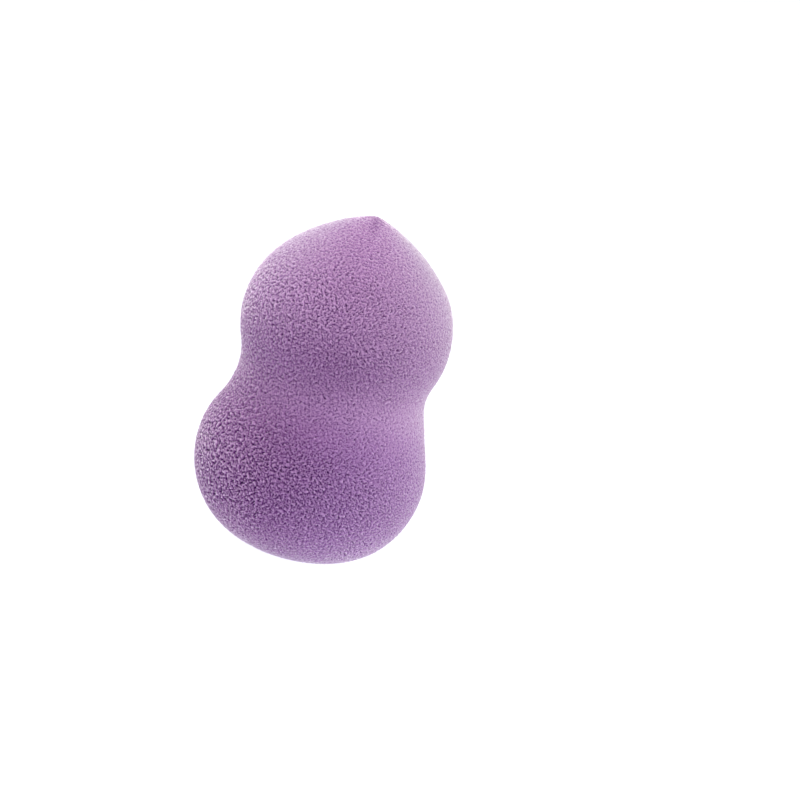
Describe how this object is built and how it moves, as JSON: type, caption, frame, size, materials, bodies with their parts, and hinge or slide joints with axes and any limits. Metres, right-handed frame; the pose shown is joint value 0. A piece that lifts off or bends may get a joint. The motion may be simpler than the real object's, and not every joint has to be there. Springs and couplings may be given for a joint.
{
  "type": "makeup sponge",
  "caption": "Gourd-shaped makeup sponge of soft foam: a broad rounded base, a waist to hold it by and a shallow pointed top for dabbing and blending.",
  "frame": {"origin": "centre of the small resting flat under the rounded base", "axes": "+Z along the turning axis, from the base to the point; the form is round, so X and Y are free"},
  "size_m": [0.04, 0.04, 0.0606],
  "materials": {
    "foam": "matte"
  },
  "bodies": {
    "root": {"foam_body": "foam"}
  },
  "joints": []
}
